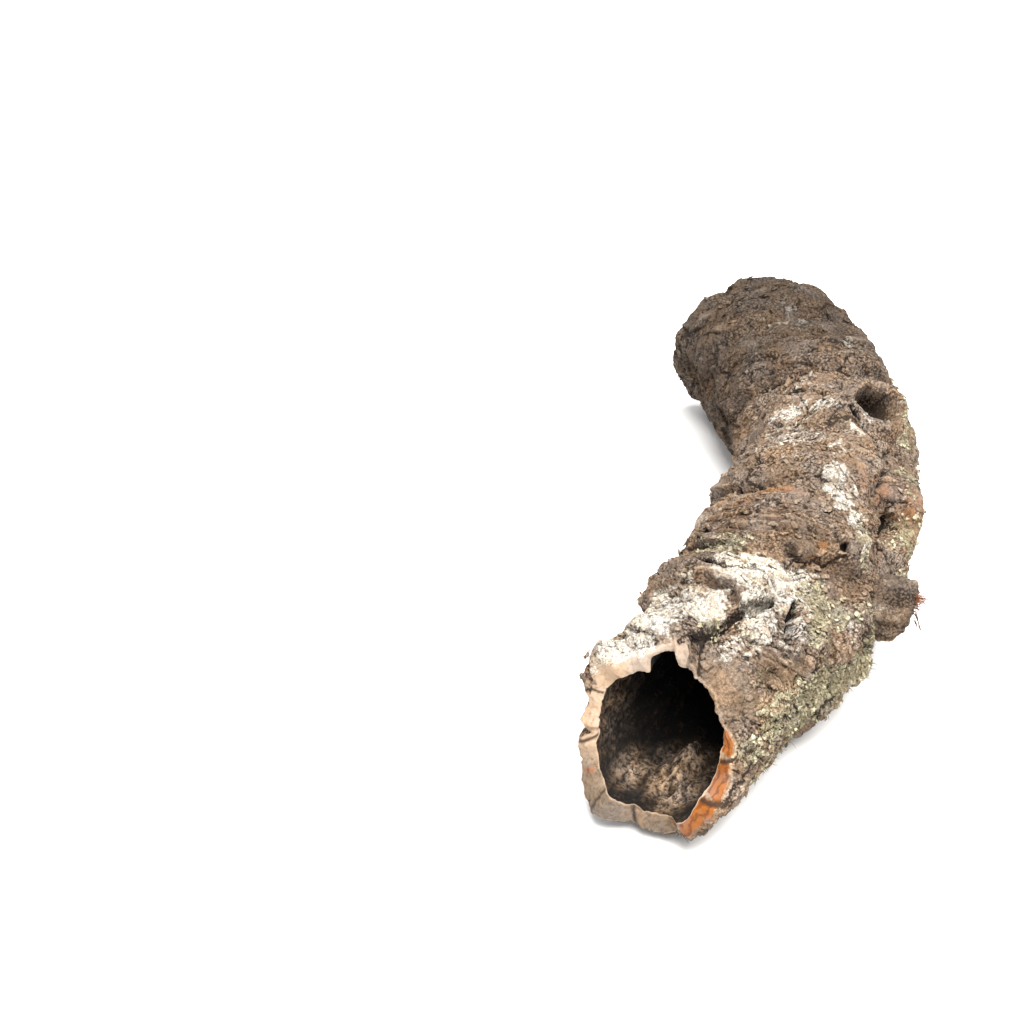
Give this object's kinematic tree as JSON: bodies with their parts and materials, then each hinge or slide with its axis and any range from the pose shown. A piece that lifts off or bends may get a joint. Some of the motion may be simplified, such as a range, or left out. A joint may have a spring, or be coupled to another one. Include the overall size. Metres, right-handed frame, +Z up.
{
  "type": "cork branch",
  "caption": "Curved hollow branch of cork bark lying on its side, open at each end, with rough overlapping folds, a collared knot hole and the broken stub of a side branch.",
  "frame": {"origin": "middle of the bounding box's base, on the surface the branch lies on", "axes": "+Z up; +Y along the branch, from the near mouth with the nick in its edge to the far end, and +X towards the outside of its bend, the side with the stub"},
  "size_m": [0.2039, 0.6007, 0.1334],
  "materials": {
    "cork_bark": "rough, matt, unsealed"
  },
  "bodies": {
    "root": {"cork_branch": "cork_bark"}
  },
  "joints": []
}
